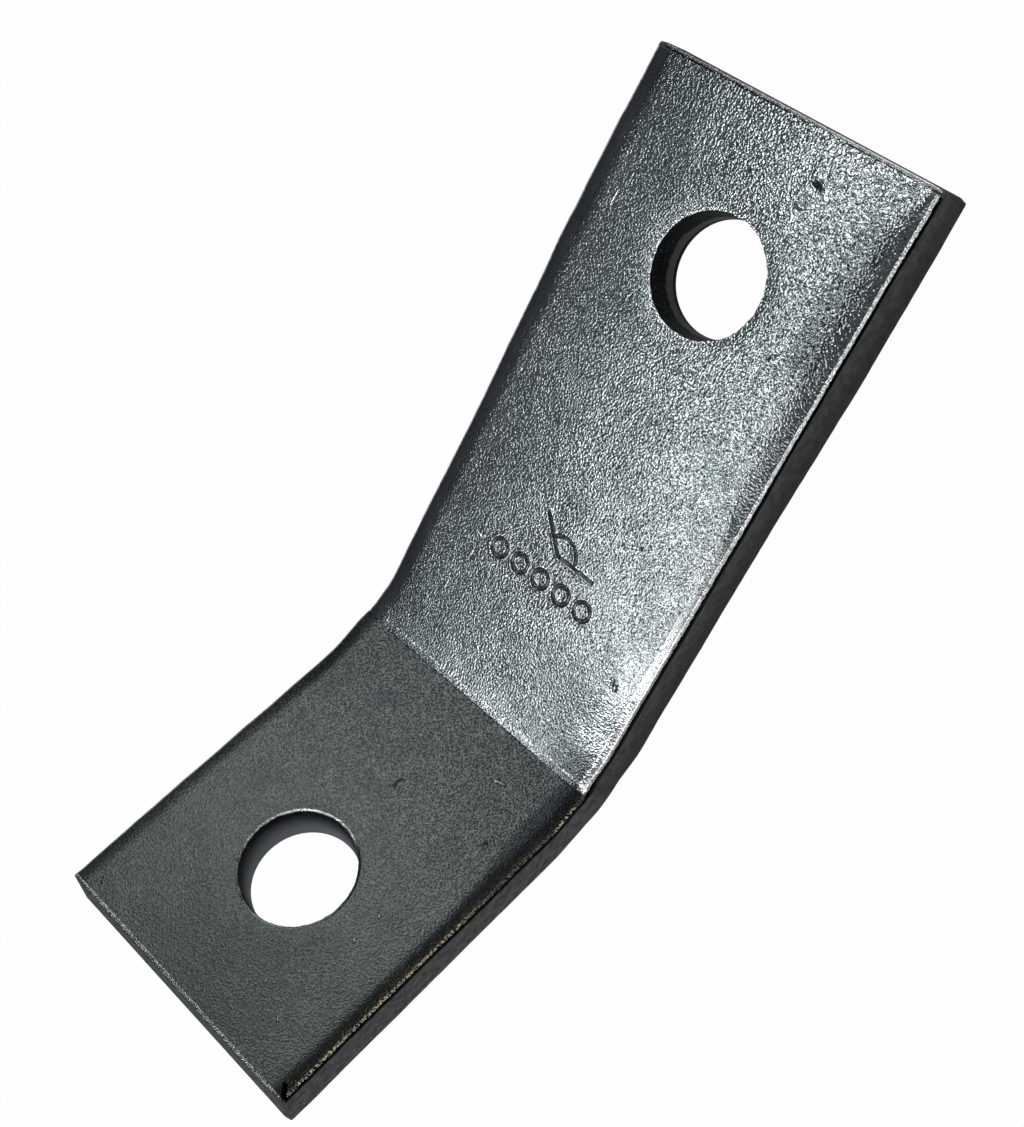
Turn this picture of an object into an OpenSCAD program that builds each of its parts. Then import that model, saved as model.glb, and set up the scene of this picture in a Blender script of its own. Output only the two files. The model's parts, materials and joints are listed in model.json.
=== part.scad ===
// Two-hole open-corner angle bracket, bent from one length of thick flat bar.
// The long leg lies flat with its outer face on Z = 0, and the short leg rises from it.
// The origin is the centre of the long leg's hole in that outer face, and +X runs towards the fold.

/* [Bar] */
// Width of the bar, 1 5/8 in
bar_w = 41.3; // [34:0.1:60]
// Thickness of the bar, 1/4 in
bar_t = 6.35; // [5:0.05:8]

/* [Legs] */
// Long leg, from its end to the outer corner, 3 3/8 in
long_leg = 85.7; // [76:0.1:160]
// Short leg, from its end to the outer corner, 2 1/8 in
short_leg = 54; // [46:0.1:120]
// Angle that the bar is bent through, which leaves the legs 135 degrees apart
bend_angle = 45; // [20:1:70]
// Radius inside the fold, which is pressed nearly sharp
inner_r = 0.5; // [0.4:0.1:1.5]

/* [Holes] */
// Diameter of both holes at their smooth land, 9/16 in
hole_d = 14.3; // [8:0.1:16]
// Distance from each end to the centre of its hole, 13/16 in
hole_edge = 20.6; // [14:0.1:24]
// Radius of the rim that the punch rolled in on the outer face
rim_r = 0.5; // [0.2:0.05:1]
// Depth of the rough zone where the slug broke out, from the inner face
break_h = 3.4; // [1:0.1:3.8]
// How far the rough zone flares outwards in radius
break_flare = 0.4; // [0.1:0.05:0.6]

/* [Edges] */
// Width of the band that shearing rolled down along each long edge of the inner face
roll_w = 3; // [1.5:0.1:4]
// Depth of that band where it meets the side
roll_d = 0.5; // [0.3:0.1:1.2]
// Radius of the long edges of the outer face
outer_edge_r = 0.4; // [0.3:0.1:1.2]
// Radius of the outer face's edge at each end
end_edge_r = 0.6; // [0.2:0.1:1.2]
// How far the metal squeezed out of the fold swells each side
swell = 0.3; // [0.3:0.1:0.9]
// Half the length of that swelling along the bar
swell_reach = 8; // [5:0.5:9]

/* [Stamped mark] */
// Depth of the stamped strokes
mark_depth = 0.25; // [0.1:0.05:0.5]
// Width of the strokes
stroke_w = 0.5; // [0.3:0.05:0.8]
// Length of each arm of the angle sign
arm_l = 5.8; // [4:0.1:8]
// Radius of the arc between its arms
arc_r = 2.6; // [1.5:0.1:3.5]
// Distance from the fold to the corner of the angle sign
sign_from_fold = 23.2; // [22:0.1:26]
// How far that corner sits off the bar's middle line
sign_off = 0.4; // [-4:0.1:4]
// Distance from the fold to the row of rings
rings_from_fold = 19.3; // [12:0.1:20]
// How far the middle of the row sits off the bar's middle line
rings_off = -0.3; // [-3:0.1:3]
// Number of rings in the row
ring_count = 5; // [3:1:7]
// Spacing of the rings
ring_pitch = 3.6; // [3.2:0.1:4]
// Outer diameter of a ring
ring_d = 2.9; // [1.8:0.1:3]

/* [Hidden] */
$fn = 96;
eps = 0.01;
steel = [0.36, 0.38, 0.39];

hole_r = hole_d / 2;
outer_r = inner_r + bar_t;
setback = outer_r * tan(bend_angle / 2);
long_flat = long_leg - setback;
short_flat = short_leg - setback;
// the fold's centre line runs along Y, above the outer face
fold_x = long_flat - hole_edge;
fold_z = outer_r;
// the fold comes out a hair fuller than the legs, and laps over both of them
fold_fuller = 0.01;
fold_lap = 0.3;
// the rolled band is an arc that leaves the inner face smoothly
roll_r = (roll_w ^ 2 + roll_d ^ 2) / (2 * roll_d);
// the swelling is the side of a wide cylinder, clear of the rolled band and of the rounded outer edge, and it
// leans in so that it runs out into the side
swell_clear = 0.1;
swell_r = (swell_reach ^ 2 + swell ^ 2) / (2 * swell);
swell_top = inner_r + roll_d + swell_clear;
swell_h = bar_t - outer_edge_r - roll_d - 2 * swell_clear;
swell_lean = atan((swell + swell_clear) / swell_h);

// What the rolled band takes off the corner of a section w wide
module rolled_off(w) {
    difference() {
        translate([-eps, w / 2 - roll_w]) square([roll_d + eps, roll_w + eps]);
        translate([roll_r, w / 2 - roll_w]) circle(roll_r);
    }
}

// What rounding to radius r takes off the corner of a square at the origin
module rounded_off(r) {
    difference() {
        translate([-eps, -eps]) square(r + eps);
        translate([r, r]) circle(r);
    }
}

// Section of the bar: X is the depth below the inner face, and Y runs across the bar
module section(fuller = 0) {
    w = bar_w + 2 * fuller;
    difference() {
        translate([-fuller, -w / 2]) square([bar_t + 2 * fuller, w]);
        for (side = [0, 1])
            mirror([0, side]) {
                translate([-fuller, 0]) rolled_off(w);
                translate([bar_t + fuller, w / 2]) rotate(180) rounded_off(outer_edge_r);
            }
    }
}

// Puts a shape made about the fold's centre line, with that line on Z, where the fold is
module at_fold() {
    translate([fold_x, 0, fold_z]) rotate([90, 90, 0]) children();
}

// Puts a shape made for the long leg's hole on the short leg's
module at_short_hole() {
    translate([fold_x, 0, fold_z])
        rotate([0, -bend_angle, 0])
            translate([short_flat - hole_edge, 0, -outer_r])
                children();
}

// A straight stretch of bar that ends at the fold
module straight(length) {
    rotate([90, 0, 0]) linear_extrude(length) translate([inner_r, 0]) section();
}

module bent_bar() {
    at_fold() {
        straight(long_flat);
        rotate_extrude(angle = bend_angle + 2 * fold_lap, start = -fold_lap)
            translate([inner_r, 0]) section(fold_fuller);
        rotate(bend_angle) translate([0, short_flat, 0]) straight(short_flat);
    }
}

// The bar near the fold, between the rolled band and the rounded outer edge, and wider than the swelling
module fold_slab() {
    reach = swell_reach + 1;
    half_w = bar_w / 2 + 2 * swell;
    at_fold() {
        translate([swell_top, -reach, 0]) cube([swell_h, reach, half_w]);
        rotate_extrude(angle = bend_angle + 2 * fold_lap, start = -fold_lap)
            translate([swell_top - fold_fuller, 0]) square([swell_h + 2 * fold_fuller, half_w]);
        rotate(bend_angle) translate([swell_top, 0, 0]) cube([swell_h, reach, half_w]);
    }
}

// Metal squeezed out to the side at the fold
module swelling() {
    intersection() {
        fold_slab();
        at_fold()
            rotate(bend_angle / 2)
                translate([swell_top, 0, bar_w / 2 + swell])
                    rotate([0, 90 + swell_lean, 0])
                        translate([swell_r, 0, -swell_reach])
                            cylinder(h = 3 * swell_reach, r = swell_r, $fn = 360);
    }
}

// One hole, punched from the outer face: a rolled rim and a smooth land there, and a zone that flares out
// to the inner face, where the slug broke away
module punch() {
    rotate_extrude() {
        translate([0, -eps]) square([hole_r, bar_t + 2 * eps]);
        polygon([
            [0, bar_t - break_h],
            [hole_r, bar_t - break_h],
            [hole_r + break_flare, bar_t],
            [hole_r + break_flare, bar_t + eps],
            [0, bar_t + eps]
        ]);
        translate([hole_r, 0]) rounded_off(rim_r);
    }
}

// What the rounded edge takes off the outer face at the long leg's end
module end_rounding() {
    translate([-hole_edge, 0, 0])
        rotate([90, 0, 0])
            linear_extrude(bar_w + 2, center = true) rounded_off(end_edge_r);
}

// Two arms that stand as far apart as the legs do, with an arc between them
module angle_sign() {
    open = 180 - bend_angle;
    far = 4 * arc_r;
    for (turn = [0, open])
        rotate(turn) translate([-stroke_w / 2, -stroke_w / 2]) square([arm_l, stroke_w]);
    difference() {
        circle(arc_r + stroke_w / 2);
        circle(arc_r - stroke_w / 2);
        translate([-far, -2 * far]) square(2 * far);
        rotate(open) square(far);
    }
}

module ring() {
    difference() {
        circle(ring_d / 2);
        circle(ring_d / 2 - stroke_w);
    }
}

// The mark reads across the bar, with its foot towards the fold
module stamped_mark() {
    translate([fold_x, 0, bar_t - mark_depth])
        rotate(90)
            linear_extrude(mark_depth + eps) {
                translate([sign_off, sign_from_fold]) angle_sign();
                for (i = [0 : ring_count - 1])
                    translate([rings_off + (i - (ring_count - 1) / 2) * ring_pitch, rings_from_fold]) ring();
            }
}

module bracket() {
    color(steel)
        difference() {
            union() {
                bent_bar();
                swelling();
                mirror([0, 1, 0]) swelling();
            }
            punch();
            at_short_hole() punch();
            end_rounding();
            at_short_hole() mirror([1, 0, 0]) end_rounding();
            stamped_mark();
        }
}

bracket();
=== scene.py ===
"""An open-corner angle bracket: a punched, stamped and bent bar of tumbled steel, on a pale stage."""

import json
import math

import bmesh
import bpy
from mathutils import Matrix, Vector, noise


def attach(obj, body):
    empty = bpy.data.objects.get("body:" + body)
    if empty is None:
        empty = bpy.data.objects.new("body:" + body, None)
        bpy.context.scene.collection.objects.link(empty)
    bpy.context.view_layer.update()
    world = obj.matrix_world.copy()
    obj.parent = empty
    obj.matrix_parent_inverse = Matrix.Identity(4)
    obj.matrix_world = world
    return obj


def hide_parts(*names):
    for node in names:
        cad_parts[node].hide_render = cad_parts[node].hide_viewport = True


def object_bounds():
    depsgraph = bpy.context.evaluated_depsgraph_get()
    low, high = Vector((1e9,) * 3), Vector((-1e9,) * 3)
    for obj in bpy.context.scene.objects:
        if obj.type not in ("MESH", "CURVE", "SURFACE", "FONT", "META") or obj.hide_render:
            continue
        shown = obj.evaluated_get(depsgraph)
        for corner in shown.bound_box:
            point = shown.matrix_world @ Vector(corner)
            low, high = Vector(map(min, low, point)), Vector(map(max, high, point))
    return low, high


bl_info = {
    "name": "Open-corner angle bracket",
    "version": (1, 0, 0),
    "blender": (4, 5, 0),
    "location": "View3D > Sidebar > Bracket",
    "description": "Builds a two-hole angle bracket with a stamped mark, worn edges and pebbled steel",
    "category": "Add Mesh",
}

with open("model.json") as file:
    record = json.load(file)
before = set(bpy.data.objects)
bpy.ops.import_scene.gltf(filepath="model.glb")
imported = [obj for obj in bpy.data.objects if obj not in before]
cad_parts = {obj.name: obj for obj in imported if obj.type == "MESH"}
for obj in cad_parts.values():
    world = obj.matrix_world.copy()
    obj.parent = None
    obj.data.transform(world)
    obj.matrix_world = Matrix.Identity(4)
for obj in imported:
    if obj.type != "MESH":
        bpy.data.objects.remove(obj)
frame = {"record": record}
CAD_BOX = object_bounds()
MOUNTS = {mount["name"]: mount for mount in frame["record"]["mounts"]}
STEEL = next(m for m in frame["record"]["materials"] if m["slot"] == "stainless_steel")

MM = 0.001
# Places closer than this count as the same, and vertices closer than the second are made one
HAIR = 0.01 * MM
WELD = 0.001 * MM
# The name under which each vertex keeps its place on the flat bar
LAID_FLAT = "laid_flat"

# The bar's mesh: how many faces lie across half of it, through its thickness, round the fold, round a rim and
# round the corner between a rolled band and its side
FLAT_COLUMNS = 36
BAND_COLUMNS = 6
DEPTH_ROWS = 10
FOLD_STEPS = 10
RIM_STEPS = 4
CORNER_STEPS = 4
# The length of its cells along the bar, and the stretch at each end that has this many finer ones
CELL = 0.5 * MM
END_STRETCH = 1.2 * MM
END_CELLS = 6
# A hole starts as a square of this many cells each side of its centre, and the cells around it are drawn
# to its rim as far out as the second number
HOLE_CELLS = 13
DRAWN_CELLS = 28
DRAWN_REACH = (DRAWN_CELLS + 1) * CELL * 1.1
# How far beside the grooves the faces are refined, once for each number
REFINED = (0.6 * MM, 0.25 * MM)
# Faces that meet at less than this angle are shaded as one smooth surface
SMOOTH_UP_TO = math.radians(50)

# How far each change of the flat bar's shape reaches from its end, its side or the fold
ENDS_REACH = 2 * MM
END_LEAN_REACH = 3 * MM
ASKEW_REACH = 9 * MM
SIDE_REACH = 6 * MM
LEAN_REACH = 2 * MM
NARROW_REACH = 16 * MM
ROLL_REACH = 8 * MM
SAG_REACH = 7 * MM

# Height of the lip beside the stamped strokes, and beside a nick as a share of its depth. Its top is this far
# from the groove's middle and its flanks are this wide, in half-widths of the groove.
MARK_LIP = 0.045 * MM
NICK_LIP = 0.2
LIP_PLACE = 1.45
LIP_FLANK = 0.3


def size(name, description, millimetres):
    """A length that a user may change, given here in millimetres"""
    return bpy.props.FloatProperty(
        name=name, description=description, default=millimetres * MM, unit="LENGTH", precision=5
    )


def tint(name, description, colour):
    """A colour that a user may change"""
    return bpy.props.FloatVectorProperty(
        name=name, description=description, default=colour, subtype="COLOR", size=3, min=0, max=1
    )


class BracketBar(bpy.types.PropertyGroup):
    width: size("Width", "Width of the bar", 41.3)
    thickness: size("Thickness", "Thickness of the bar", 6.35)
    long_leg: size("Long leg", "From the long leg's end to the outer corner", 85.7)
    short_leg: size("Short leg", "From the short leg's end to the outer corner", 54)
    bend: bpy.props.FloatProperty(
        name="Bend",
        description="Angle that the bar is bent through",
        default=math.radians(45),
        subtype="ANGLE",
    )
    fold_radius: size("Fold radius", "Radius inside the fold", 0.5)
    roll_width: size("Roll width", "Band that shearing rolled down along each long edge", 2.8)
    roll_depth: size("Roll depth", "Depth of that band where it meets the side", 0.45)
    soft_width: size("Soft width", "Width of the softer roll halfway along the long leg's +Y edge", 4.8)
    soft_depth: size("Soft depth", "Depth of that softer roll", 0.36)
    tight_width: size("Tight width", "Width of the roll where it tightens, by the leg's end and fold", 1.2)
    corner: size("Corner", "How far back the corner between the band and the side is rounded", 0.55)
    lean: size("Lean", "How far the long leg's sides, and again the +Y side, lean in at the top", 0.37)
    outer_edge: size("Outer edge", "Radius of the long edges of the outer face", 0.4)
    outer_end_edge: size("Outer end edge", "Radius of the outer face's edge at each end", 0.6)
    inner_end_edge: size("Inner end edge", "Radius of the inner face's edge at each end", 0.3)
    end_lean: size("End lean", "How far the short leg's end leans back at the inner face", 0.55)
    plan_corner: size("Plan corner", "Radius of the bar's four corners, seen from above", 0.9)
    swell: size("Swell", "How far metal squeezed out of the fold stands out at the -Y side", 0.8)
    swell_reach: size("Swell reach", "Half the length of that swelling", 9)
    draw_in: size("Draw in", "How far the stretched outside of the fold draws in at each side", 0.45)
    bulge: size("Bulge", "How far punching the long leg's hole pushed out the -Y side beside it", 0.45)
    bulge_reach: size("Bulge reach", "Half the length of that bulge", 30)
    narrow: size("Narrow", "How far the short leg's -Y side stands in", 0.25)
    askew: size("Askew", "How far the long leg's end is sheared out of square at each side", 0.25)
    dip: size("Dip", "Depth of the hollow before the fold, from which the long leg rises into it", 0.16)
    dip_reach: size("Dip reach", "Length of that hollow", 18)
    tuck: size("Tuck", "How far the +Y side's upper corner draws in at the fold", 0.5)
    tuck_reach: size("Tuck reach", "How far along each leg it does so", 6)
    sag: size("Sag", "How far the +Y end of the crease sags", 0.35)


class BracketHoles(bpy.types.PropertyGroup):
    radius: size("Radius", "Radius of the smooth land", MOUNTS["long_leg_hole"]["dims"]["r_mm"])
    edge_distance: size("Edge distance", "From each end to its hole's centre", 20.6)
    rim_radius: size("Rim radius", "Radius of the rolled rim on the outer face", 0.5)
    break_depth: size("Break depth", "Depth of the rough zone below the inner face", 3.4)
    break_flare: size("Break flare", "How far the rough zone flares in radius", 0.4)
    dish: size("Dish", "How far the punch drew the inner face down at the rim", 0.12)
    dish_reach: size("Dish reach", "How far out from the rim the face is drawn down", 4)


class BracketMark(bpy.types.PropertyGroup):
    depth: size("Depth", "Depth of the stamped strokes", 0.25)
    stroke: size("Stroke", "Width of the strokes", 0.5)
    arm: size("Arm", "Length of each arm of the angle sign", 5.8)
    arc: size("Arc", "Radius of the arc between the arms", 2.6)
    sign_from_fold: size("Sign from fold", "Distance from the fold to the sign's corner", 23.2)
    sign_off: size("Sign off", "How far that corner is from the middle line", 0.4)
    rings_from_fold: size("Rings from fold", "Distance from the fold to the row of rings", 19.3)
    rings_off: size("Rings off", "How far the row's middle is from the middle line", -0.3)
    ring_pitch: size("Ring pitch", "Spacing of the rings", 3.6)
    ring: size("Ring", "Outer diameter of a ring", 2.9)
    rings: bpy.props.IntProperty(name="Rings", description="Number of rings in the row", default=5, min=1)


class BracketFinish(bpy.types.PropertyGroup):
    face: tint("Face", "Tumbled steel of the inner and outer faces", STEEL["base_color"])
    dull: tint("Dull", "Duller steel of the short leg", (0.31, 0.335, 0.325))
    sheared: tint("Sheared", "Sheared sides and end of the long leg", (0.11, 0.118, 0.118))
    sheared_short: tint("Sheared short", "Sheared sides and end of the short leg", (0.16, 0.173, 0.17))
    wall: tint("Wall", "Smooth land of the holes' walls", (0.09, 0.093, 0.098))
    pebble: size("Pebble", "Spacing of the pebbled grain", 0.25)


class BracketStage(bpy.types.PropertyGroup):
    floor: tint("Floor", "Floor under the bracket", (0.86, 0.86, 0.86))
    dim: tint("Dim side", "Light from the far side and from low down", (0.075, 0.08, 0.085))
    light: tint("Light side", "Light from the near side and overhead", (0.30, 0.31, 0.32))


def settings():
    """The sizes and colours on the scene"""
    return [getattr(bpy.context.scene, name) for name in GROUPS]


class Layout:
    """Marks the bent bar out flat. Along is 0 where the fold starts on the long leg, negative on that leg,
    and runs on to the short leg's end. Across is Y. Out is the height above the inner face."""

    def __init__(self, bar, holes):
        self.angle = bar.bend
        self.inner = bar.fold_radius
        outer = bar.fold_radius + bar.thickness
        setback = outer * math.tan(bar.bend / 2)
        self.long_flat = bar.long_leg - setback
        self.short_flat = bar.short_leg - setback
        self.arc = (self.inner + outer) / 2 * bar.bend
        self.centre = Vector((self.long_flat - holes.edge_distance, 0, outer))
        self.long_end = -self.long_flat
        self.short_end = self.arc + self.short_flat
        self.long_hole = self.long_end + holes.edge_distance
        self.short_hole = self.short_end - holes.edge_distance

    def flat(self, place):
        """(along, across, out) of a place on the bent bar"""
        x, z = place.x - self.centre.x, place.z - self.centre.z
        turn = math.atan2(x, -z)
        if turn <= 0:
            return Vector((x, place.y, z + self.inner))
        if turn < self.angle:
            return Vector((turn / self.angle * self.arc, place.y, self.inner - math.hypot(x, z)))
        c, s = math.cos(self.angle), math.sin(self.angle)
        return Vector((self.arc + x * c + z * s, place.y, z * c - x * s + self.inner))

    def bent(self, flat):
        """The place on the bent bar of (along, across, out)"""
        along, across, out = flat
        if along <= 0:
            return self.centre + Vector((along, across, out - self.inner))
        turn = min(along / self.arc, 1) * self.angle
        run, up = max(along - self.arc, 0), out - self.inner
        c, s = math.cos(turn), math.sin(turn)
        return self.centre + Vector((run * c - up * s, across, run * s + up * c))

    def reshape(self, verts, change):
        """Moves vertices by a rule that is given their place on the flat bar and gives back the new one"""
        for vert in verts:
            vert.co = self.bent(change(self.flat(vert.co)))


def blend(low, high, value):
    """0 below low, 1 above high, and a smooth rise between them"""
    t = min(max((value - low) / (high - low), 0), 1)
    return t * t * (3 - 2 * t)


def mix(a, b, share):
    """The number this share of the way from a to b"""
    return a + (b - a) * share


def hump(off, reach):
    """1 at 0, and a smooth fall to 0 at reach on either side"""
    return math.cos(math.pi / 2 * min(abs(off) / reach, 1)) ** 2


def wander(seed, *place):
    """Smooth noise from -1 to 1, from a place of each seed's own"""
    return noise.noise(Vector((*place, 0, 0)[:3]) + Vector((seed * 17.3, seed * 5.1, seed * 9.7)))


def rounded(a, b, radius):
    """Takes a point, given by its depths behind two faces, back onto the rounded edge between them"""
    short_a, short_b = radius - a, radius - b
    reach = math.hypot(short_a, short_b)
    if short_a <= 0 or short_b <= 0 or reach <= radius:
        return a, b
    return radius - short_a * radius / reach, radius - short_b * radius / reach


def roll_drop(bar, across):
    """How far the inner face has rolled down at this distance from the middle line"""
    past = abs(across) - (bar.width / 2 - bar.roll_width)
    if past <= 0:
        return 0
    radius = (bar.roll_width ** 2 + bar.roll_depth ** 2) / (2 * bar.roll_depth)
    return radius - math.sqrt(radius ** 2 - min(past, bar.roll_width) ** 2)


def section_faces(bm, bar, layout):
    """A grid of faces in the shape of the bar's section, standing where the fold starts"""
    half = FLAT_COLUMNS + BAND_COLUMNS
    verts = bmesh.ops.create_grid(bm, x_segments=2 * half, y_segments=DEPTH_ROWS, size=1)["verts"]
    flat_half = bar.width / 2 - bar.roll_width
    for vert in verts:
        column = abs(vert.co.x) * half
        past = max(column - FLAT_COLUMNS, 0) / BAND_COLUMNS
        across = min(column / FLAT_COLUMNS, 1) * flat_half + past * bar.roll_width
        top = roll_drop(bar, across)
        up = (bar.thickness - top) * (vert.co.y + 1) / 2
        behind, up = rounded(bar.width / 2 - across, up, bar.outer_edge)
        across = math.copysign(bar.width / 2 - behind, vert.co.x)
        vert.co = layout.bent((0, across, up - bar.thickness))
    return list(bm.faces)


def extend(bm, faces, run, cells):
    """Extrudes the section along run in equal cells, and gives back the faces at its new end"""
    grown = bmesh.ops.extrude_face_region(bm, geom=faces)["geom"]
    moved = {part for part in grown if isinstance(part, bmesh.types.BMVert)}
    bmesh.ops.translate(bm, vec=run, verts=list(moved))
    lengthwise = [
        edge for vert in moved for edge in vert.link_edges if edge.other_vert(vert) not in moved
    ]
    end = [part for part in grown if isinstance(part, bmesh.types.BMFace)]
    bmesh.ops.subdivide_edges(bm, edges=lengthwise, cuts=cells - 1, use_grid_fill=True)
    return end


def cells_in(length):
    """How many cells fit a length"""
    return round(length / CELL)


def leg(bm, start, direction, flat_length, holes):
    """Extrudes one leg in three stretches: to its hole's centre, towards its end, and the fine last part"""
    to_hole = flat_length - holes.edge_distance
    past_hole = holes.edge_distance - END_STRETCH
    at_hole = extend(bm, start, direction * to_hole, cells_in(to_hole))
    near_end = extend(bm, at_hole, direction * past_hole, cells_in(past_hole))
    extend(bm, near_end, direction * END_STRETCH, END_CELLS)
    bmesh.ops.delete(bm, geom=at_hole + near_end, context="FACES")


def bent_bar(bm, bar, holes, layout):
    """The bar as bent: the section extruded along the long leg, spun round the fold and extruded on"""
    section = section_faces(bm, bar, layout)
    leg(bm, section, Vector((-1, 0, 0)), layout.long_flat, holes)
    spun = bmesh.ops.spin(
        bm,
        geom=section,
        cent=layout.centre,
        axis=(0, 1, 0),
        angle=-layout.angle,
        steps=FOLD_STEPS,
        use_duplicate=False,
    )["geom_last"]
    last = [part for part in spun if isinstance(part, bmesh.types.BMFace)]
    leg(bm, last, Vector((math.cos(layout.angle), 0, math.sin(layout.angle))), layout.short_flat, holes)
    bmesh.ops.delete(bm, geom=section + last, context="FACES")
    bmesh.ops.remove_doubles(bm, verts=bm.verts, dist=WELD)
    bmesh.ops.recalc_face_normals(bm, faces=bm.faces)


def round_corners(bm, bar, layout):
    """Rounds the corner between each rolled band and its side"""
    at_corner = {}
    for vert in bm.verts:
        flat = layout.flat(vert.co)
        at_side = abs(abs(flat.y) - bar.width / 2) < HAIR
        at_corner[vert] = at_side and abs(flat.z + bar.roll_depth) < HAIR
    chain = [e for e in bm.edges if at_corner[e.verts[0]] and at_corner[e.verts[1]]]
    bmesh.ops.bevel(
        bm,
        geom=chain,
        offset=bar.corner,
        segments=CORNER_STEPS,
        profile=0.5,
        affect="EDGES",
        material=-1,
        clamp_overlap=False,
    )


def square_to_round(i, j):
    """The direction round a circle that belongs to a point on a square"""
    if abs(i) >= abs(j):
        turn = math.pi / 4 * j / i
        return Vector((math.cos(turn), math.sin(turn))) * math.copysign(1, i)
    turn = math.pi / 4 * i / j
    return Vector((math.sin(turn), math.cos(turn))) * math.copysign(1, j)


def draw_to_rim(verts, layout, centre, pitch, rim, level):
    """Draws the cells of one face around a square opening to a round rim. pitch gives the sizes of the cells:
    along the bar below and above the hole's centre, and across it."""
    below, above, across = pitch
    spacing = (DRAWN_CELLS * across - rim) / (DRAWN_CELLS - HOLE_CELLS)
    for vert in verts:
        flat = layout.flat(vert.co)
        along = flat.x - centre
        i, j = along / (above if along > 0 else below), flat.y / across
        ring = max(abs(i), abs(j))
        if ring > DRAWN_CELLS or abs(flat.z - level) > HAIR:
            continue
        round_place = square_to_round(i, j) * (rim + (ring - HOLE_CELLS) * spacing)
        place = round_place.lerp(Vector((along, flat.y)), blend(HOLE_CELLS, DRAWN_CELLS, ring))
        vert.co = layout.bent((centre + place.x, place.y, flat.z))


def wall_profile(bar, holes):
    """(radius, out) down a hole's wall: its flared rough zone, its smooth land and its rolled rim"""
    rough_cells = cells_in(holes.break_depth)
    for step in range(1, rough_cells + 1):
        share = step / rough_cells
        yield holes.radius + holes.break_flare * (1 - share), -holes.break_depth * share
    land_end = holes.rim_radius - bar.thickness
    land_cells = cells_in(-holes.break_depth - land_end)
    for step in range(1, land_cells + 1):
        yield holes.radius, mix(-holes.break_depth, land_end, step / land_cells)
    for step in range(1, RIM_STEPS):
        turn = math.pi / 2 * step / RIM_STEPS
        back, down = 1 - math.cos(turn), math.sin(turn)
        yield holes.radius + holes.rim_radius * back, land_end - holes.rim_radius * down


def punch(bm, bar, holes, layout, centre, end):
    """Punches one round hole through both faces and walls it"""
    to_fold = abs(centre - (0 if end < 0 else layout.arc))
    to_end = abs(end - centre) - END_STRETCH
    pitches = [to_fold / cells_in(to_fold), to_end / cells_in(to_end)]
    below, above = pitches if end > 0 else pitches[::-1]
    across = (bar.width / 2 - bar.roll_width) / FLAT_COLUMNS
    pitch = (below, above, across)
    near = [vert for vert in bm.verts if abs(layout.flat(vert.co).x - centre) < DRAWN_REACH]
    inside = []
    for face in {f for vert in near for f in vert.link_faces}:
        middle = layout.flat(face.calc_center_median())
        along = middle.x - centre
        i, j = abs(along) / (above if along > 0 else below), abs(middle.y) / across
        on_face = min(abs(middle.z), abs(middle.z + bar.thickness)) < HAIR
        if max(i, j) < HOLE_CELLS and on_face:
            inside.append(face)
    bmesh.ops.delete(bm, geom=inside, context="FACES")
    around = [vert for vert in near if vert.is_valid]
    draw_to_rim(around, layout, centre, pitch, holes.radius + holes.break_flare, 0)
    draw_to_rim(around, layout, centre, pitch, holes.radius + holes.rim_radius, -bar.thickness)
    open_edges = [edge for edge in bm.edges if edge.is_boundary]
    ring = [edge for edge in open_edges if layout.flat(edge.verts[0].co).z > -bar.thickness / 2]
    far_ring = [edge for edge in open_edges if edge not in ring]
    for radius, out in wall_profile(bar, holes):
        grown = bmesh.ops.extrude_edge_only(bm, edges=ring)["geom"]
        moved = {part for part in grown if isinstance(part, bmesh.types.BMVert)}
        sides = [part for part in grown if isinstance(part, bmesh.types.BMEdge)]
        ring = [edge for edge in sides if moved.issuperset(edge.verts)]
        for vert in moved:
            flat = layout.flat(vert.co)
            place = Vector((flat.x - centre, flat.y)).normalized() * radius
            vert.co = layout.bent((centre + place.x, place.y, out))
    bmesh.ops.bridge_loops(bm, edges=ring + far_ring)


def line(start, turn, length):
    """A straight stroke from start, as its distance from any place"""
    run = Vector((math.cos(turn), math.sin(turn))) * length

    def distance(place):
        share = min(max((place - start).dot(run) / run.length_squared, 0), 1)
        return (place - start - run * share).length

    return distance


def arc(centre, radius, start, sweep):
    """A curved stroke, as its distance from any place"""
    ends = [centre + Vector((math.cos(t), math.sin(t))) * radius for t in (start, start + sweep)]

    def distance(place):
        out = place - centre
        if (math.atan2(out.y, out.x) - start) % (2 * math.pi) <= sweep:
            return abs(out.length - radius)
        return min((place - end).length for end in ends)

    return distance


class Groove:
    """A stroke pressed or cut into the inner face, with the metal raised a little beside it"""

    def __init__(self, distance, middle, reach, width, depth, lip):
        self.distance, self.middle, self.reach = distance, middle, reach
        self.half, self.depth, self.lip = width / 2, depth, lip

    def near(self, place, margin):
        """Whether a place lies on this groove or within margin of it"""
        if (place - self.middle).length >= self.reach + margin:
            return False
        return self.distance(place) < self.half + margin

    def height(self, place):
        """How far this groove moves the face at a place"""
        if (place - self.middle).length > self.reach + 3 * self.half:
            return 0
        off = self.distance(place) / self.half
        lip = self.lip * math.exp(-((off - LIP_PLACE) / LIP_FLANK) ** 2)
        return -self.depth * max(1 - off * off, 0) ** 0.8 + lip


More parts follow.
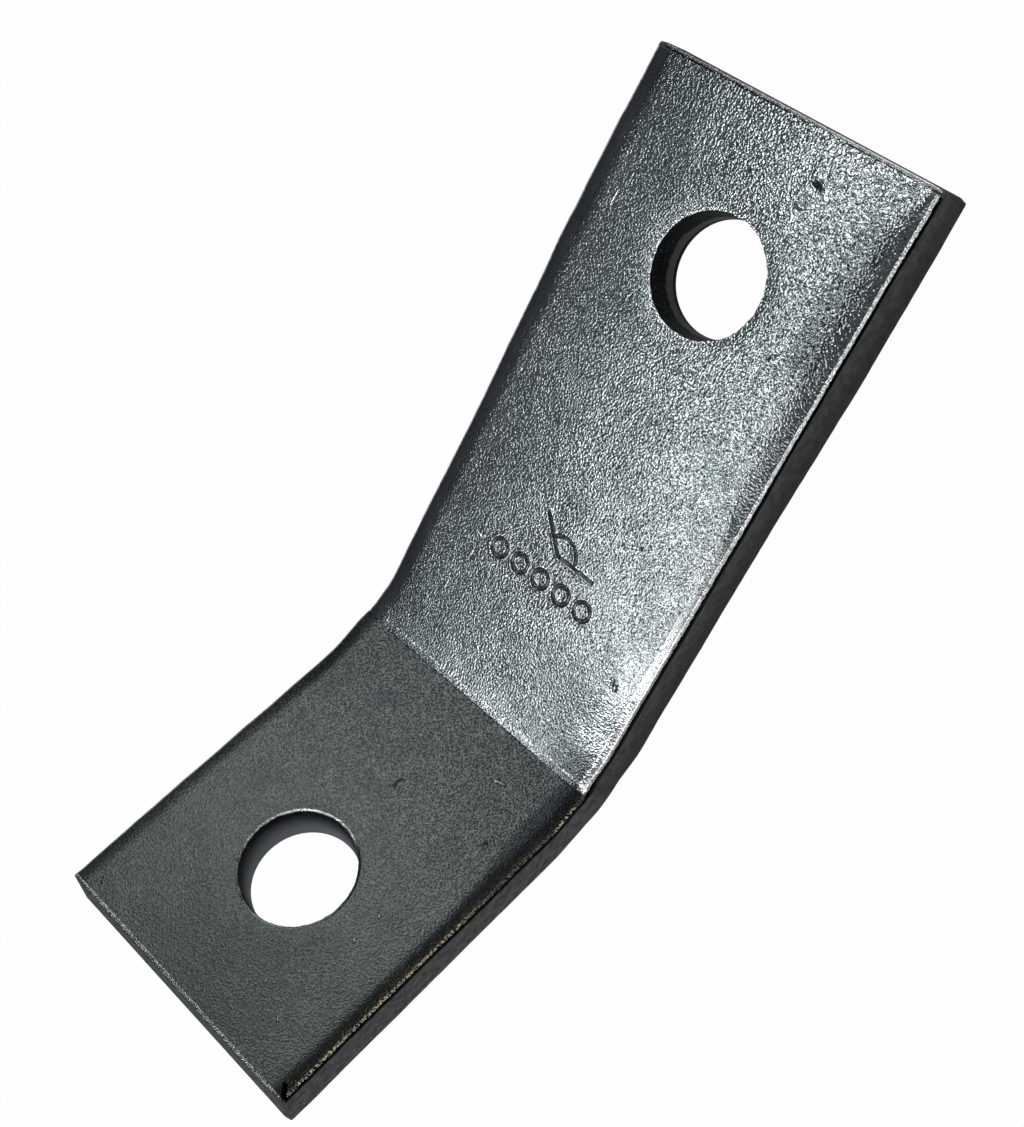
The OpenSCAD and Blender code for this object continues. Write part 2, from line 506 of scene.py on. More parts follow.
def stamped_mark(mark, bar):
    """Two arms that stand as far apart as the legs, with an arc between them, and a row of rings"""
    away = math.pi - bar.bend
    corner = Vector((-mark.sign_from_fold, mark.sign_off))
    style = (mark.stroke, mark.depth, MARK_LIP)
    sign = [
        line(corner, math.pi / 2, mark.arm),
        line(corner, math.pi / 2 + away, mark.arm),
        arc(corner, mark.arc, math.pi / 2, away),
    ]
    grooves = [Groove(stroke, corner, mark.arm + mark.stroke, *style) for stroke in sign]
    radius = (mark.ring - mark.stroke) / 2
    for i in range(mark.rings):
        off = mark.rings_off + (i - (mark.rings - 1) / 2) * mark.ring_pitch
        middle = Vector((-mark.rings_from_fold, off))
        ring = arc(middle, radius, 0, 2 * math.pi)
        grooves.append(Groove(ring, middle, radius + mark.stroke, *style))
    return grooves


# Nicks: millimetres along the flat bar and across it, length, direction in degrees, width, and depth, which
# is negative where the metal is raised
NICKS = [
    (-77.3, 6.2, 0.9, 70, 0.6, 0.18),
    (-75.1, -1.8, 0.4, 45, 0.3, 0.12),
    (-65.2, -15.9, 2.0, 0, 0.2, -0.06),
    (-58.3, 11.9, 0.2, 0, 0.4, 0.15),
    (-50.0, 15.8, 2.5, 0, 0.15, -0.05),
    (-29.6, 7.5, 2.2, 112, 0.22, -0.07),
    (-30.5, 9.6, 0.2, 112, 0.4, 0.15),
    (-26.3, -16.2, 0.2, 0, 0.35, -0.08),
    (-19.2, -11.8, 1.2, 80, 0.25, -0.08),
    (-14.8, 15.3, 0.6, 20, 0.4, 0.25),
    (-14.4, 16.0, 0.5, 20, 0.35, 0.2),
    (8.6, 9.7, 1.3, 105, 0.3, -0.1),
    (15.3, 14.9, 0.25, 0, 0.5, 0.15),
    (16.5, 0.9, 0.8, -20, 0.35, 0.14),
    (17.3, 0.6, 0.7, 25, 0.35, 0.14),
    (23.7, -6.0, 0.2, 0, 0.35, -0.08),
    (30.6, 12.0, 0.3, 30, 0.3, -0.05),
    (34.8, 12.0, 0.3, 60, 0.3, -0.05),
    (45.4, 8.0, 0.3, 10, 0.3, -0.05),
    (47.4, 12.5, 0.3, 45, 0.3, -0.05),
    (51.1, -17.2, 1.0, 40, 0.2, 0.08),
]


def nicks():
    """Small cuts and dents from handling"""
    grooves = []
    for along, across, length, turn, width, depth in NICKS:
        start, turn = Vector((along, across)) * MM, math.radians(turn)
        stroke = line(start, turn, length * MM)
        lip = NICK_LIP * depth * MM
        grooves.append(Groove(stroke, start, length * MM, width * MM, depth * MM, lip))
    return grooves


def press_in(bm, layout, grooves):
    """Refines the inner face along the grooves and presses them in"""
    for margin in REFINED:
        edges = set()
        for face in bm.faces:
            middle = layout.flat(face.calc_center_median())
            if middle.z < -HAIR:
                continue
            place = middle.to_2d()
            if any(groove.near(place, margin) for groove in grooves):
                edges.update(face.edges)
        bmesh.ops.subdivide_edges(bm, edges=list(edges), cuts=1, use_grid_fill=True)
    for vert in bm.verts:
        flat = layout.flat(vert.co)
        if flat.z > -HAIR:
            flat.z += sum(groove.height(flat.to_2d()) for groove in grooves)
            vert.co = layout.bent(flat)


def shaping(bar, holes, layout):
    """The rule that gives the flat bar its worked shape: torn holes with dished rims, rounded ends, the
    squeezed fold and uneven sheared edges"""
    middle = layout.arc / 2

    def ends(flat):
        for end in (layout.long_end, layout.short_end):
            sign = math.copysign(1, end)
            behind = (end - flat.x) * sign
            if behind < ENDS_REACH:
                behind, side = rounded(behind, bar.width / 2 - abs(flat.y), bar.plan_corner)
                flat.y = math.copysign(bar.width / 2 - side, flat.y)
                behind, up = rounded(behind, flat.z + bar.thickness, bar.outer_end_edge)
                flat.z = up - bar.thickness
                top = -roll_drop(bar, flat.y)
                behind, down = rounded(behind, top - flat.z, bar.inner_end_edge)
                flat.z = top - down
                flat.x = end - behind * sign
        back = min(max(1 - (layout.short_end - flat.x) / END_LEAN_REACH, 0), 1)
        flat.x -= bar.end_lean * back ** 2 * (1 + flat.z / bar.thickness)
        flat.x -= bar.askew * 2 * flat.y / bar.width * blend(ASKEW_REACH, 0, flat.x - layout.long_end)
        return flat

    def fold(flat):
        depth = min(max(-flat.z / bar.thickness, 0), 1)
        edge = blend(bar.width / 2 - SIDE_REACH, bar.width / 2, abs(flat.y))
        on_long = blend(layout.arc, -LEAN_REACH, flat.x)
        swell = bar.swell if flat.y < 0 else 0
        lean = bar.lean * (on_long + (1 if flat.y > 0 else 0))
        squeezed = mix(swell, -bar.draw_in, blend(0, 1, depth))
        out = hump(flat.x - middle, bar.swell_reach) * squeezed - lean * (1 - depth)
        # The +Y side bulges only low down, and stands in a little above that
        by_hole = hump(flat.x - layout.long_hole, bar.bulge_reach)
        out += bar.bulge * by_hole * (mix(-0.3, 0.6, depth) if flat.y > 0 else 1)
        if flat.y < 0:
            out -= bar.narrow * blend(layout.arc, NARROW_REACH, flat.x)
        else:
            beyond = max(-flat.x, flat.x - layout.arc, 0)
            out -= bar.tuck * hump(beyond, bar.tuck_reach) * blend(0.5, 0, depth)
        flat.y += out * edge * math.copysign(1, flat.y)
        # The hollow is deepest a third of its reach from the fold
        if -bar.dip_reach < flat.x < 0:
            share = -flat.x / bar.dip_reach
            flat.z -= bar.dip * math.sin(math.pi * share ** 0.6) ** 2 * (1 - depth)
        return flat

    def dishes(flat):
        for hole in (layout.long_hole, layout.short_hole):
            beyond = math.hypot(flat.x - hole, flat.y) - holes.radius
            share = min(max(beyond / holes.dish_reach, 0), 1)
            flat.z -= holes.dish * (1 - share) ** 3 * blend(bar.thickness, 0, -flat.z)
        return flat

    def torn(flat):
        # Heights and spacings of the lumps and of the finer teeth are in millimetres
        for hole in (layout.long_hole, layout.short_hole):
            off = Vector((flat.x - hole, flat.y))
            near = blend(1.2 * MM, 0.4 * MM, off.length - holes.radius)
            rough = near * blend(-0.2 * MM, 0.6 * MM, flat.z + holes.break_depth)
            if rough > 0:
                a, c, z = flat / MM
                lumps = 0.08 * wander(6, a / 1.3, c / 1.3, z / 2)
                teeth = 0.1 * wander(7, a / 0.5, c / 0.5, z / 0.8)
                off *= 1 + (lumps + teeth) * rough * MM / off.length
                flat.x, flat.y = hole + off.x, off.y
        return flat

    def softer_roll(flat):
        across = flat.y - bar.width / 2
        if across > -ROLL_REACH and flat.x < 0:
            depth = min(max(-flat.z / bar.thickness, 0), 1)
            # The softer stretch, between the tight ones at the end and by the fold
            soft = blend(-81 * MM, -77 * MM, flat.x) * blend(-36 * MM, -44 * MM, flat.x)
            width = mix(bar.tight_width, bar.soft_width, soft)
            drop = mix(bar.roll_depth, bar.soft_depth, soft) * min(max(1 + across / width, 0), 1) ** 2
            to_fold = max(1 + flat.x / SAG_REACH, 0)
            sag = bar.sag * min(max(1 + across / ROLL_REACH, 0), 1) ** 2 * to_fold ** 2
            flat.z += (roll_drop(bar, flat.y) - drop - sag) * (1 - depth)
        return flat

    def unevenness(flat):
        # Heights and spacings are in millimetres
        a, c, z = flat / MM
        skin = blend(bar.thickness, 0, -flat.z)
        band = blend(bar.width / 2 - bar.roll_width, bar.width / 2, abs(flat.y))
        side = math.copysign(1, flat.y)
        swells, waves = 0.03 * wander(1, a / 9, c / 9), 0.08 * wander(2, a / 3, side)
        chatter = 0.03 * wander(3, a / 0.9, side)
        flat.z += (swells + band * (waves + chatter)) * skin * MM
        side_waves = 0.08 * wander(4, a / 6, side, z / 5)
        side_chatter = 0.03 * wander(5, a / 1.2, z / 1.5)
        flat.y += band * side * (side_waves + side_chatter) * MM
        return flat

    return lambda flat: unevenness(dishes(fold(ends(softer_roll(torn(flat))))))


def remember_flat(bm, layout):
    """Keeps each vertex's place on the flat bar, for the material to follow"""
    layer = bm.verts.layers.float_vector.new(LAID_FLAT)
    for vert in bm.verts:
        vert[layer] = layout.flat(vert.co)


class Value:
    """A number or vector on its way through a material. Arithmetic with it adds Math nodes."""

    def __init__(self, recipe, socket):
        self.recipe, self.socket = recipe, socket

    def maths(self, operation, *numbers):
        return self.recipe.add("ShaderNodeMath", {"operation": operation}, dict(enumerate(numbers)))

    def __add__(self, other):
        return self.maths("ADD", self, other)

    def __sub__(self, other):
        return self.maths("SUBTRACT", self, other)

    def __rsub__(self, other):
        return self.maths("SUBTRACT", other, self)

    def __mul__(self, other):
        return self.maths("MULTIPLY", self, other)

    def __abs__(self):
        return self.maths("ABSOLUTE", self)

    __radd__ = __add__
    __rmul__ = __mul__

    def most(self, other):
        return self.maths("MAXIMUM", self, other)

    def least(self, other):
        return self.maths("MINIMUM", self, other)

    def rise(self, low, high, start=0, end=1):
        """start below low, end above high, and a smooth change between them"""
        return self.recipe.add(
            "ShaderNodeMapRange",
            {"interpolation_type": "SMOOTHSTEP"},
            {0: self, 1: low, 2: high, 3: start, 4: end},
        )

    def within(self, start, full, last=None, end=None):
        """0 before start and 1 from full on, or only as far as last and then 0 from end on"""
        inside = self.rise(start, full)
        return inside if end is None else inside * self.rise(end, last)


class Recipe:
    """The nodes of a new material or world"""

    def __init__(self, owner):
        self.owner = owner
        owner.use_nodes = True
        self.tree = owner.node_tree
        self.tree.nodes.clear()

    def add(self, kind, options=None, inputs=None, output=0):
        """Makes a node of this type, with its options set first and then its inputs, as values or links"""
        node = self.tree.nodes.new(kind)
        for name, value in (options or {}).items():
            setattr(node, name, value)
        for key, value in (inputs or {}).items():
            if isinstance(value, Value):
                self.tree.links.new(value.socket, node.inputs[key])
            else:
                node.inputs[key].default_value = value
        return Value(self, node.outputs[output]) if node.outputs else None

    def mixed(self, share, first, second):
        """The first colour, with this share of the second over it"""
        first, second = [c if isinstance(c, Value) else (*c, 1) for c in (first, second)]
        options = {"data_type": "RGBA", "clamp_factor": True}
        return self.add("ShaderNodeMix", options, {0: share, 6: first, 7: second}, output=2)

    def grain(self, place, spacing, detail=2, roughness=0.5):
        """Noise from 0 to 1 whose blobs are this far apart, in the place's own unit"""
        inputs = {"Vector": place, "Scale": 1 / spacing, "Detail": detail, "Roughness": roughness}
        return self.add("ShaderNodeTexNoise", {"noise_dimensions": "3D"}, inputs)


# Tones of the finish beside the colours that a user may change, with painted highlights and painted shade
# among them
CLOUDED = (0.17, 0.205, 0.21)
PATCHED = (0.30, 0.30, 0.285)
HOLLOW = (0.08, 0.092, 0.096)
PITTED = (0.03, 0.035, 0.04)
# Painted shade, inside the pressed strokes and on the darker patches
GROOVE_SHADE = (0.03, 0.033, 0.036)
SHADED = (0.05, 0.055, 0.06)
# Painted highlights, pale and shiny
PALE_HIGHLIGHT = (0.75, 0.77, 0.78)
PAINTED_HIGHLIGHT = (0.90, 0.91, 0.90)
# Black, for lines of painted shade and for the broken line at the long leg's end
BLACK = (0.004, 0.004, 0.004)
# Painted highlights along the ridge, white on the long leg and warm on the short leg
RIDGE_HIGHLIGHT = (1.0, 1.0, 1.0)
WARM_RIDGE_HIGHLIGHT = (1.0, 0.86, 0.64)
CUT_SPOTTED = (0.04, 0.042, 0.043)
# Painted shade low down on the long leg's sides
SIDE_LOW_SHADE = (0.03, 0.032, 0.033)
TORN_DEEP = (0.008, 0.009, 0.010)
TORN_HIGH = (0.10, 0.105, 0.11)
# Painted light on the short leg's torn wall, lower down
TORN_LIT = (0.24, 0.26, 0.275)

# Painted shade on each leg's inner face: how strong each patch is, then where it starts and is full, and is
# last full and ends if it does, in millimetres across the bar and along it
LONG_LEG_SHADES = [
    (0.75, (9, 16), (-7, -3.5)),
    (0.3, (-8, -17), (-22, -12)),
    (0.5, (12.5, 15, 17.8, 18.3), (-80, -74, -60, -55)),
    (0.45, (-16.7, -17.7, -18.4, -19.2), None),
    (0.15, (1, -13), None),
]
SHORT_LEG_SHADES = [
    (0.55, (-18.0, -18.8), (26, 10)),
    (0.2, (-9, -2, 8, 14), (32, 40)),
]


def steel_material(bar, holes, finish, layout):
    """Tumbled stainless steel: pebbled faces, a duller and finer short leg, and dark sheared sides and walls.
    Its marks, painted highlights and painted shade among them, are placed in millimetres on the flat bar:
    along it, across it and out of its inner face."""
    steel = Recipe(bpy.data.materials.new("tumbled_stainless_steel"))
    half_width, thickness = bar.width / 2 / MM, bar.thickness / MM
    long_hole, short_hole = layout.long_hole / MM, layout.short_hole / MM

    def in_millimetres(vector):
        return steel.add("ShaderNodeVectorMath", {"operation": "SCALE"}, {0: vector, "Scale": 1 / MM})

    def off_hole(centre):
        offset = steel.add("ShaderNodeCombineXYZ", inputs={0: along - centre, 1: across})
        return steel.add("ShaderNodeVectorMath", {"operation": "LENGTH"}, {0: offset}, output="Value")

    place = in_millimetres(steel.add("ShaderNodeTexCoord", output="Object"))
    flat = in_millimetres(steel.add("ShaderNodeAttribute", {"attribute_name": LAID_FLAT}, output="Vector"))
    parts = steel.add("ShaderNodeSeparateXYZ", inputs={0: flat})
    along, across, out = [Value(steel, parts.socket.node.outputs[i]) for i in range(3)]

    # Grains, from the finest to the widest
    fine = steel.grain(place, 0.16, detail=1)
    pebbles = steel.grain(place, finish.pebble / MM, detail=0.5)
    frost = steel.grain(place, 0.25, roughness=0.7)
    pits = steel.grain(place, 0.45, detail=1).rise(0.33, 0.28)
    streaked = steel.add("ShaderNodeCombineXYZ", inputs={0: along * 4, 1: across, 2: out})
    streaks = steel.grain(streaked, 1.1, roughness=0.6)
    mottle = steel.grain(place, 1.2, detail=3, roughness=0.65)
    cloud = steel.grain(place, 5, detail=3, roughness=0.55)
    patches = steel.grain(place, 14)

    # Which leg this is, the half of the thickness next to the inner face, and the holes' walls
    short_leg = along.rise(-0.2, 1.2)
    long_leg = 1 - short_leg
    upper = out.rise(-3, -2)
    off_rim = off_hole(long_hole).least(off_hole(short_hole)) - holes.radius / MM
    wall = off_rim.rise(0.55, 0.45) * out.rise(0, -0.08)

    # The corner between each rolled band and its side is wider near the fold on the long leg. A painted
    # highlight runs along its ridge on the +Y edge, with a whiter painted strip beside it near the fold, and
    # on the short leg it breaks up into painted glint dots, which are faint between a patch by the fold and
    # the leg's outer half.
    corner = abs(across) - (half_width - bar.corner / MM) - out - bar.roll_depth / MM
    side = (corner - along.rise(-48, -40) * long_leg * 0.35).rise(0.85, 0.95)
    ragged = corner + (streaks - 0.5) * 0.5
    glint_patch = along.within(3.8, 4.6, 8, 9)
    glint_dots = frost.rise(0.48, 0.54) * along.rise(18, 27, 0.3, 1).most(glint_patch) * ragged.rise(-0.30, -0.20)
    ridge = ragged.within(-0.45, -0.30, 0.22, 0.30) * across.rise(0, 1) * upper
    ridge = ridge * (1 - short_leg * (1 - glint_dots))
    strip_highlight = ragged.within(-1.65, -1.50, 0.22, 0.30) * across.rise(0, 1) * upper
    strip_highlight = strip_highlight * along.rise(-32, -20) * long_leg * 0.6

    # A black line of painted shade under the ridge, with a wedge of it at the short leg's corner
    shade_wedge = abs((across - 19.1) * 0.83 - (along - 51.5) * 0.56).rise(0.45, 0.25) * along.rise(51.3, 51.8)
    shade_line = (ragged.rise(0.24, 0.34) * (1 - side)).most(shade_wedge) * upper

    # The long leg's end has a broken black line towards -Y and a burr painted as a bright highlight towards
    # +Y, and the short leg's end has a painted highlight along a bright speckled line
    from_end = (along - layout.long_end / MM).least(layout.short_end / MM - along) + (streaks - 0.5) * 0.25
    broken_black_line = from_end.within(0.34, 0.42, 0.48, 0.58) * (mottle + across * 0.006).rise(0.60, 0.45)
    broken_black_line = broken_black_line * long_leg * upper
    burr = from_end.rise(0.40, 0.30) * (frost - across * 0.006).rise(0.55, 0.45)
    burr = burr * long_leg * out.rise(-0.7, -0.4)
    end_highlight_line = from_end.within(0.3, 0.4, 0.6, 0.75) * frost.rise(0.42, 0.5)
    end_highlight = burr.most(end_highlight_line * short_leg * out.rise(-0.5, -0.3))

    # The sheared sides and ends, without the outer face's rounded edges
    sheared = side.most(from_end.rise(0.9, 0.5) * out.rise(-0.02, -0.2) * (1 - end_highlight))
    outer = out.rise(0.6 - thickness, 0.2 - thickness)
    sheared = sheared * (1 - outer * abs(across).rise(half_width - 0.3, half_width - 0.6))
    cut = sheared.most(wall)

    # Painted highlights: the speckled line where the long leg meets the fold, a pale one round its hole's
    # rim, and the glint on the short leg's hole
    crease_highlight = along.within(-1.0, -0.8, -0.7, -0.5) * across.rise(-18.2, -17.8) * upper
    crease_highlight = crease_highlight * frost.rise(0.4, 0.6) * across.rise(4, -6, 0.35, 0.6)
    lip = off_rim.rise(0.75, 0.6) * (1 - wall) * frost.rise(0.45, 0.6) * long_leg * upper * 0.6
    glint = off_rim.rise(0.76, 0.66) * (1 - wall) * frost.rise(0.34, 0.42) * short_leg * upper
    highlight_mask = end_highlight.most(glint * (along + across - short_hole).rise(-3, -6))

    # Painted shade: the darker patches, the short leg's dark +Y edge, which widens by the fold, and the
    # insides of the pressed strokes
    shade = (across + along.rise(26, 10) * 2.3).rise(18.2, 19.4) * short_leg * 0.7
    for leg, shades in ((long_leg, LONG_LEG_SHADES), (short_leg, SHORT_LEG_SHADES)):
        for strength, across_span, along_span in shades:
            darker = across.within(*across_span) * leg * strength
            shade = shade.most(darker * along.within(*along_span) if along_span else darker)
    groove_shade = out.within(-0.03, -0.10, -0.6, -0.65) * (1 - wall)
    groove_shade = groove_shade * abs(across).rise(half_width - 3.2, half_width - 3.6)

    face = steel.mixed(short_leg, finish.face, finish.dull)
    face = steel.mixed(cloud.rise(0.35, 0.7) * 0.4, face, CLOUDED)
    face = steel.mixed(patches.rise(0.4, 0.7) * 0.3, face, PATCHED)
    frosted = 0.15 + short_leg * along.rise(8, 36, 0.85, 0.45)
    face = steel.mixed(frost.rise(0.62, 0.38) * frosted, face, HOLLOW)
    face = steel.mixed(pits * (1 - short_leg * 0.6) * 0.6, face, PITTED)
    # Painted shade inside the pressed strokes and on the darker patches
    face = steel.mixed(groove_shade * 0.42, face, GROOVE_SHADE)
    face = steel.mixed(shade * upper, face, SHADED)
    # Painted highlights on the crease and round the long leg's hole
    face = steel.mixed(crease_highlight.most(lip), face, PALE_HIGHLIGHT)
    # Painted highlight along the +Y ridge and the whiter painted strip beside it
    ridge_highlight_tone = steel.mixed(short_leg, RIDGE_HIGHLIGHT, WARM_RIDGE_HIGHLIGHT)
    face = steel.mixed(strip_highlight.most(ridge * streaks.rise(0.25, 0.45)), face, ridge_highlight_tone)
    # Painted highlight on the ends' burr and line, the short leg's hole rim, and the raised metal beside
    # strokes and nicks
    face = steel.mixed(highlight_mask.most(out.rise(0.02, 0.05)), face, PAINTED_HIGHLIGHT)
    # Black lines: painted shade under the ridge, and the broken line at the long leg's end
    face = steel.mixed(shade_line.most(broken_black_line), face, BLACK)

    side_colour = steel.mixed(short_leg, finish.sheared, finish.sheared_short)
    side_colour = steel.mixed(mottle.rise(0.35, 0.65) * 0.6, side_colour, CUT_SPOTTED)
    # Painted shade: the long leg's sides darker towards the outer face
    side_colour = steel.mixed(out.rise(-1.5, -5) * long_leg * 0.6, side_colour, SIDE_LOW_SHADE)
    colour = steel.mixed(sheared, face, side_colour)

    # The walls: a smooth land, a torn rough zone above it that has painted light lower down on the short leg,
    # and a black line of painted shade at the long leg's outer rim
    torn = steel.mixed(frost.rise(0.60, 0.70), TORN_DEEP, TORN_HIGH)
    torn = steel.mixed(short_leg * out.rise(-0.5, -5), torn, TORN_LIT)
    above_land = out + (mottle - 0.5) * 1.6 + holes.break_depth / MM
    bore = steel.mixed(above_land.rise(-0.2, 0.2).most(short_leg), finish.wall, torn)
    bore = steel.mixed(out.rise(1.4 - thickness, 1.0 - thickness) * long_leg, bore, BLACK)
    colour = steel.mixed(wall, colour, bore)

    # The relief in millimetres, whose pebbles are burnished flatter before the +Y end of the fold
    burnish = along.within(-24, -12, -6, -2) * across.rise(12, 17)
    height = pebbles * (1 - cut) * (1 - burnish * 0.5) * 0.041
    height = height + fine * (0.004 + short_leg * 0.012) + cloud * 0.04
    height = height - off_rim.rise(0.75, 0.38) * short_leg * 0.16
    height = height + frost * (ridge * (1 - strip_highlight)).most(highlight_mask) * 0.12 + mottle * cut * 0.10
    relief = {"Strength": 1.0, "Distance": 1.0, "Height": height * MM}

    left = across.rise(1, -13) * long_leg
    shader = steel.add(
        "ShaderNodeBsdfPrincipled",
        inputs={
            "Base Color": colour,
            "Metallic": 1 - cut * 0.85,
            "Roughness": 0.10 + left * 0.07 + short_leg * (1 - highlight_mask) * 0.14 + cut * 0.3 + ridge * 0.12,
            "Specular IOR Level": 0.0,
            "Normal": steel.add("ShaderNodeBump", inputs=relief, output="Normal"),
        },
    )
    steel.add("ShaderNodeOutputMaterial", inputs={"Surface": shader})
    return steel.owner


def floor_material(colour):
    """A pale floor that the camera and reflections see as nearly white, and that keeps the object's shadow"""
    floor = Recipe(bpy.data.materials.new("pale_floor"))
    rays = floor.add("ShaderNodeLightPath").socket.node.outputs
    kinds = ("Is Camera Ray", "Is Glossy Ray", "Is Transmission Ray")
    camera, glossy, transmission = [Value(floor, rays[kind]) for kind in kinds]
    share = camera.most(glossy).most(transmission) * FLOOR_GLOW
    matt = floor.add("ShaderNodeBsdfDiffuse", inputs={"Color": (*colour, 1)})
    white = floor.add("ShaderNodeEmission", inputs={"Color": (1, 1, 1, 1), "Strength": 1.0})
    surface = floor.add("ShaderNodeMixShader", inputs={0: share, 1: matt, 2: white})
    floor.add("ShaderNodeOutputMaterial", inputs={"Surface": surface})
    return floor.owner


def surround_world(dim, light):
    """Plain light from all round: dim on the far side and low down, and lighter near and overhead"""
    world = Recipe(bpy.data.worlds.new("surround"))
    sides = {0: world.add("ShaderNodeTexCoord", output="Generated"), 1: LIGHT_SIDE}
    towards = world.add("ShaderNodeVectorMath", {"operation": "DOT_PRODUCT"}, sides, "Value")
    colour = world.mixed(towards.rise(0.7, 1), dim, light)
    shader = world.add("ShaderNodeBackground", inputs={"Color": colour, "Strength": 1.0})
    world.add("ShaderNodeOutputWorld", inputs={"Surface": shader})
    return world.owner


def finished_object(bm, name, material):
    """A mesh object at the origin, made from the bmesh"""
    mesh = bpy.data.meshes.new(name)
    bm.to_mesh(mesh)
    bm.free()
    mesh.materials.append(material)
    made = bpy.data.objects.new(name, mesh)
    bpy.context.scene.collection.objects.link(made)
    return made


class BRACKET_OT_bar(bpy.types.Operator):
    """Builds the bent bar with its holes, mark and wear, in tumbled steel"""

    bl_idname = "bracket.bar"
    bl_label = "Bent bar"

    def execute(self, context):
        bar, holes, mark, finish, _ = settings()
        layout = Layout(bar, holes)
        bm = bmesh.new()
        bent_bar(bm, bar, holes, layout)
        round_corners(bm, bar, layout)
        punch(bm, bar, holes, layout, layout.long_hole, layout.long_end)
        punch(bm, bar, holes, layout, layout.short_hole, layout.short_end)
        press_in(bm, layout, stamped_mark(mark, bar) + nicks())
        remember_flat(bm, layout)
        layout.reshape(bm.verts, shaping(bar, holes, layout))
        bmesh.ops.recalc_face_normals(bm, faces=bm.faces)
        steel = steel_material(bar, holes, finish, layout)
        bracket = finished_object(bm, "bent_bar", steel)
        bracket.data.shade_smooth()
        bracket.data.set_sharp_from_angle(angle=SMOOTH_UP_TO)
        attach(bracket, "root")
        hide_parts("bracket")
        return {"FINISHED"}


# The photograph's viewpoint: its place in millimetres, the directions of the picture's right and down, and
# the lens in millimetres
CAMERA_PLACE = Vector((-26.462, 81.441, 171.872))
CAMERA_RIGHT = Vector((-0.43931, 0.70672, -0.55457))
CAMERA_DOWN = Vector((0.82662, 0.55972, 0.05846))
CAMERA_FOCAL = 55.09
SENSOR_WIDTH = 36
NEAREST_SEEN = 0.01
# How far the floor reaches each way in metres, how far below the bracket it lies, and how white it looks
FLOOR_REACH = 1.6
FLOOR_GAP = 0.02 * MM
FLOOR_GLOW = 0.985
# How far the lamps stand from the bracket in metres, and which way the world's lighter side lies
LIGHT_DISTANCE = 0.7
LIGHT_SIDE = (0.3, 0.45, 0.84)


def area_light(name, towards, spread, brightness, colour=(1, 1, 1)):
    """A rectangular soft light that faces the bracket's middle. Its sides run roughly along X and Y, and
    spread gives them over its distance."""
    lamp = bpy.data.lights.new(name, "AREA")
    lamp.shape = "RECTANGLE"
    lamp.size, lamp.size_y = [share * LIGHT_DISTANCE for share in spread]
    lamp.color = colour
    lamp.energy = brightness * math.pi * lamp.size * lamp.size_y
    made = bpy.data.objects.new(name, lamp)
    back = Vector(towards).normalized()
    across = Vector((0, 1, 0)).cross(back).normalized()
    turned = Matrix((across, back.cross(across), back)).transposed().to_4x4()
    middle = (CAD_BOX[0] + CAD_BOX[1]) / 2
    made.matrix_world = Matrix.Translation(middle + back * LIGHT_DISTANCE) @ turned
    bpy.context.scene.collection.objects.link(made)


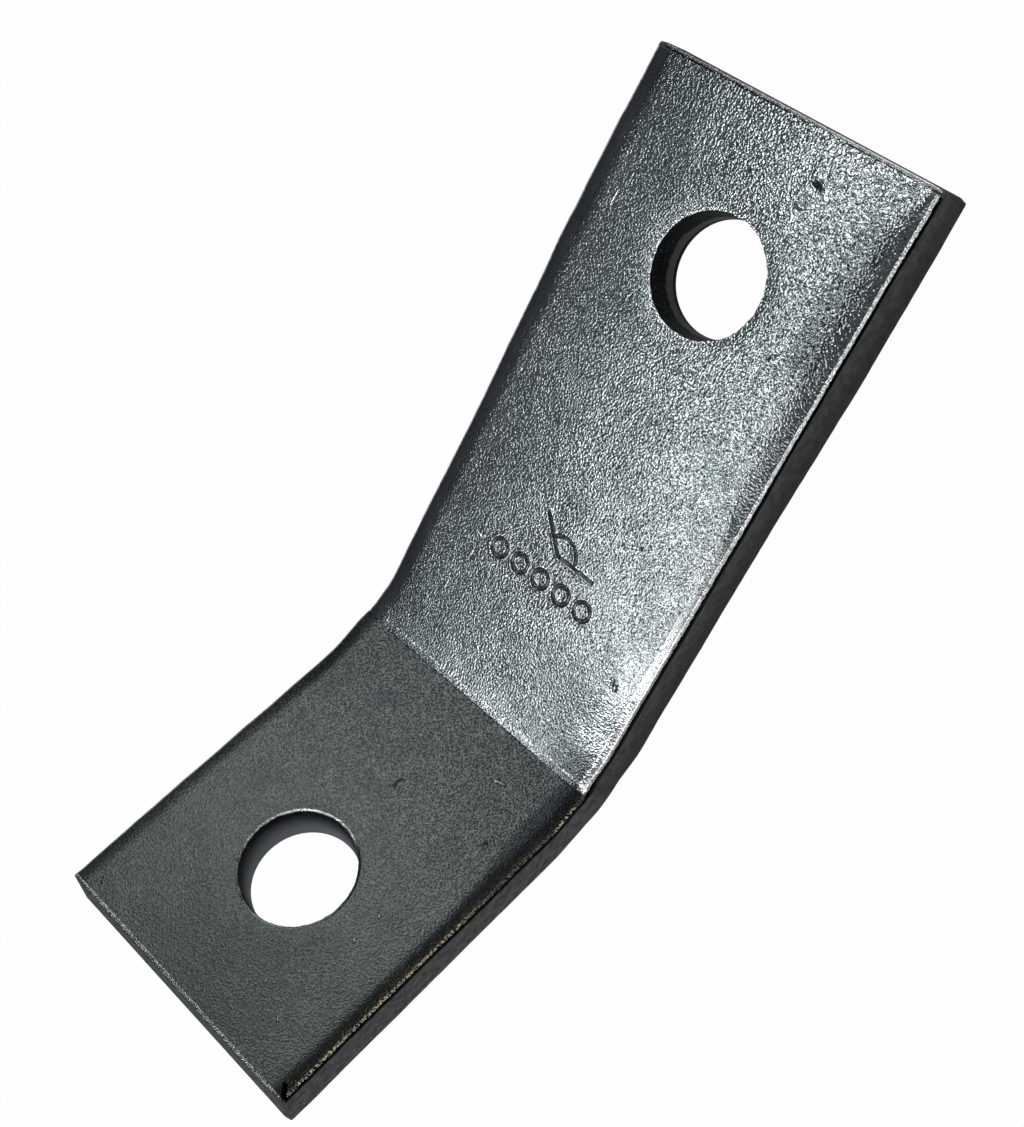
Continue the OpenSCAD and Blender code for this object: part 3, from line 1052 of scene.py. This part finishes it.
class BRACKET_OT_stage(bpy.types.Operator):
    """Lays the floor and sets up the lights and the camera"""

    bl_idname = "bracket.stage"
    bl_label = "Stage"

    def execute(self, context):
        stage = context.scene.bracket_stage
        bm = bmesh.new()
        bmesh.ops.create_grid(bm, x_segments=1, y_segments=1, size=FLOOR_REACH)
        bmesh.ops.translate(bm, vec=(0, 0, -FLOOR_GAP), verts=bm.verts)
        floor = finished_object(bm, "floor", floor_material(stage.floor))
        context.scene.world = surround_world(stage.dim, stage.light)
        for step in (-1, 0, 1):
            towards = (0.20 + 0.25 * step, -0.355, 0.915)
            area_light("overhead", towards, (0.10, 0.06), 14.5 - 2 * step, (0.94, 1, 1))
        area_light("veil", (0.24, -0.54, 0.81), (0.70, 0.34), 0.06)
        area_light("strip", (0.36, -0.04, 0.93), (0.14, 0.50), 2.4)
        area_light("edge", (0.24, 0.46, 0.85), (0.50, 0.40), 2.6)
        area_light("far", (-0.71, -0.45, 0.55), (0.50, 0.44), 0.50, (0.97, 1, 0.99))
        area_light("near", (-0.80, -0.39, 0.46), (0.14, 0.14), 1.0)
        area_light("warm", (-0.75, 0.35, 0.56), (0.05, 0.05), 24.0, (1.0, 0.76, 0.48))
        lens = bpy.data.cameras.new("camera")
        lens.sensor_fit = "HORIZONTAL"
        lens.sensor_width = SENSOR_WIDTH
        lens.lens = CAMERA_FOCAL
        lens.clip_start = NEAREST_SEEN
        camera = bpy.data.objects.new("camera", lens)
        back = CAMERA_RIGHT.cross(-CAMERA_DOWN)
        turned = Matrix((CAMERA_RIGHT, -CAMERA_DOWN, back)).transposed().to_4x4()
        camera.matrix_world = Matrix.Translation(CAMERA_PLACE * MM) @ turned
        context.scene.collection.objects.link(camera)
        context.scene.camera = camera
        context.scene.view_settings.view_transform = "Standard"
        return {"FINISHED"}


class BRACKET_PT_panel(bpy.types.Panel):
    """Lists the bracket's operators and sizes"""

    bl_idname = "BRACKET_PT_panel"
    bl_label = "Angle bracket"
    bl_space_type = "VIEW_3D"
    bl_region_type = "UI"
    bl_category = "Bracket"

    def draw(self, context):
        for operator in OPERATORS:
            self.layout.operator(operator.bl_idname)
        for group in settings():
            box = self.layout.box()
            for name in group.bl_rna.properties.keys():
                if name not in ("rna_type", "name"):
                    box.prop(group, name)


GROUPS = {
    "bracket_bar": BracketBar,
    "bracket_holes": BracketHoles,
    "bracket_mark": BracketMark,
    "bracket_finish": BracketFinish,
    "bracket_stage": BracketStage,
}
OPERATORS = (BRACKET_OT_bar, BRACKET_OT_stage)


def register():
    for name, group in GROUPS.items():
        bpy.utils.register_class(group)
        setattr(bpy.types.Scene, name, bpy.props.PointerProperty(type=group))
    for item in (*OPERATORS, BRACKET_PT_panel):
        bpy.utils.register_class(item)


def unregister():
    for item in (BRACKET_PT_panel, *OPERATORS):
        bpy.utils.unregister_class(item)
    for name, group in GROUPS.items():
        delattr(bpy.types.Scene, name)
        bpy.utils.unregister_class(group)


def main():
    register()
    bpy.ops.bracket.bar()
    bpy.ops.bracket.stage()


if __name__ == "__main__":
    main()
